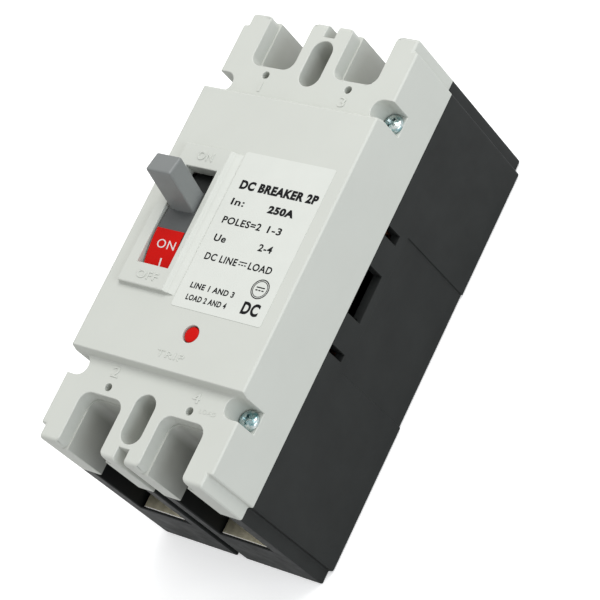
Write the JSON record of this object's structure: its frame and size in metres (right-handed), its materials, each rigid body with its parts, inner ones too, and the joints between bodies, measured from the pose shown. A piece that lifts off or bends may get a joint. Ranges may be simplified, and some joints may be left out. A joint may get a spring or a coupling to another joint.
{
  "type": "moulded case circuit breaker",
  "caption": "Two-pole DC moulded case circuit breaker with toggle handle, push-to-trip button, open terminal pockets and a working contact and trip mechanism inside.",
  "frame": {"origin": "middle of the back face", "axes": "+X across the poles to the right, +Y to the line end (handle at ON), +Z out of the front"},
  "size_m": [0.075, 0.165, 0.1044],
  "materials": {
    "black_plastic": "satin moulded, near black",
    "light_plastic": "fine moulded texture, warm light grey",
    "label": "printed film with a satin face",
    "grey_plastic": "satin mid grey",
    "red_plastic": "semi-gloss signal red",
    "plated_copper": "plated copper bar, slightly brushed",
    "bare_copper": "bare copper",
    "silver_contact": "silver alloy contact tip",
    "zinc_steel": "bright zinc with a blue tint",
    "fibre_board": "vulcanised fibre",
    "brown_plastic": "phenolic moulding",
    "plain_steel": "stamped steel"
  },
  "bodies": {
    "housing": {"front_cover": "light_plastic", "base": "black_plastic", "button_spring": "plain_steel", "cradle": "plain_steel", "mechanism_plate_left": "plain_steel", "mechanism_plate_right": "plain_steel", "cover_screw_1": "zinc_steel", "cover_screw_2": "zinc_steel", "cover_screw_3": "zinc_steel", "cover_screw_4": "zinc_steel", "line_terminal_1": "plated_copper", "line_terminal_3": "plated_copper", "load_terminal_2": "plated_copper", "load_terminal_4": "plated_copper", "button_retainer": "black_plastic", "arc_chute_1": "fibre_board", "arc_chute_3": "fibre_board", "terminal_nut_1": "zinc_steel", "terminal_nut_2": "zinc_steel", "terminal_nut_3": "zinc_steel", "terminal_nut_4": "zinc_steel", "fixed_contact_1": "silver_contact", "fixed_contact_3": "silver_contact", "braid_1": "bare_copper", "braid_3": "bare_copper", "arc_plate_1_1": "plain_steel", "arc_plate_1_2": "plain_steel", "arc_plate_1_3": "plain_steel", "arc_plate_1_4": "plain_steel", "arc_plate_1_5": "plain_steel", "arc_plate_3_1": "plain_steel", "arc_plate_3_2": "plain_steel", "arc_plate_3_3": "plain_steel", "arc_plate_3_4": "plain_steel", "arc_plate_3_5": "plain_steel", "magnet_yoke_1": "plain_steel", "magnet_yoke_3": "plain_steel", "bimetal_1": "plain_steel", "bimetal_3": "plain_steel", "rating_label": "label"},
    "toggle": {"handle": "grey_plastic", "handle_flag": "red_plastic", "handle_yoke": "plain_steel", "main_spring_left": "plain_steel", "main_spring_right": "plain_steel"},
    "contact_rotor": {"crossbar": "brown_plastic", "moving_arm_1": "bare_copper", "moving_arm_3": "bare_copper", "moving_contact_1": "silver_contact", "moving_contact_3": "silver_contact"},
    "upper_link_body": {"upper_link": "plain_steel", "knee_pin": "plain_steel"},
    "lower_link_body": {"lower_link": "plain_steel"},
    "push_button": {"trip_button": "red_plastic"},
    "trip_shaft": {"trip_bar": "brown_plastic"},
    "clapper_1": {"armature_1": "plain_steel"},
    "clapper_3": {"armature_3": "plain_steel"}
  },
  "joints": [
    {"name": "handle_toggle", "type": "hinge", "parent": "housing", "child": "toggle", "pos_m": [-0.0188, -0.0031, 0.036], "axis": [1, 0, 0], "range_deg": [0, 23], "deforming": ["main_spring_left", "main_spring_right"]},
    {"name": "rotor_hinge", "type": "hinge", "parent": "housing", "child": "contact_rotor", "pos_m": [0, -0.008, 0.018], "axis": [1, 0, 0], "range_deg": [0, 30], "deforming": ["braid_1", "braid_3"]},
    {"name": "upper_link_hinge", "type": "hinge", "parent": "housing", "child": "upper_link_body", "pos_m": [-0.0188, -0.0047, 0.0509], "axis": [1, 0, 0], "range_deg": [0, 49]},
    {"name": "lower_link_hinge", "type": "hinge", "parent": "contact_rotor", "child": "lower_link_body", "pos_m": [-0.0188, 0.0119, 0.0262], "axis": [1, 0, 0], "range_deg": [-51, 0]},
    {"name": "button_slide", "type": "slide", "parent": "housing", "child": "push_button", "axis": [0, 0, -1], "range_m": [0, 0.002], "stiffness_N_per_m": 400, "springref_m": -0.003, "deforming": ["button_spring"]},
    {"name": "trip_bar_hinge", "type": "hinge", "parent": "housing", "child": "trip_shaft", "pos_m": [0, -0.029, 0.047], "axis": [1, 0, 0], "range_deg": [0, 18.1]},
    {"name": "clapper_1_hinge", "type": "hinge", "parent": "housing", "child": "clapper_1", "pos_m": [-0.01775, -0.0506, 0.0236], "axis": [-1, 0, 0], "range_deg": [0, 7], "stiffness_Nm_per_rad": 0.05, "springref_deg": -8.59},
    {"name": "clapper_3_hinge", "type": "hinge", "parent": "housing", "child": "clapper_3", "pos_m": [0.01775, -0.0506, 0.0236], "axis": [-1, 0, 0], "range_deg": [0, 7], "stiffness_Nm_per_rad": 0.05, "springref_deg": -8.59}
  ],
  "couplings": [
    {"joint": "rotor_hinge", "follows": "handle_toggle", "ratio": 1.3},
    {"joint": "upper_link_hinge", "follows": "handle_toggle", "ratio": 2.1},
    {"joint": "lower_link_hinge", "follows": "handle_toggle", "ratio": -2.21},
    {"joint": "trip_bar_hinge", "follows": "button_slide", "rad_per_m": 157}
  ]
}
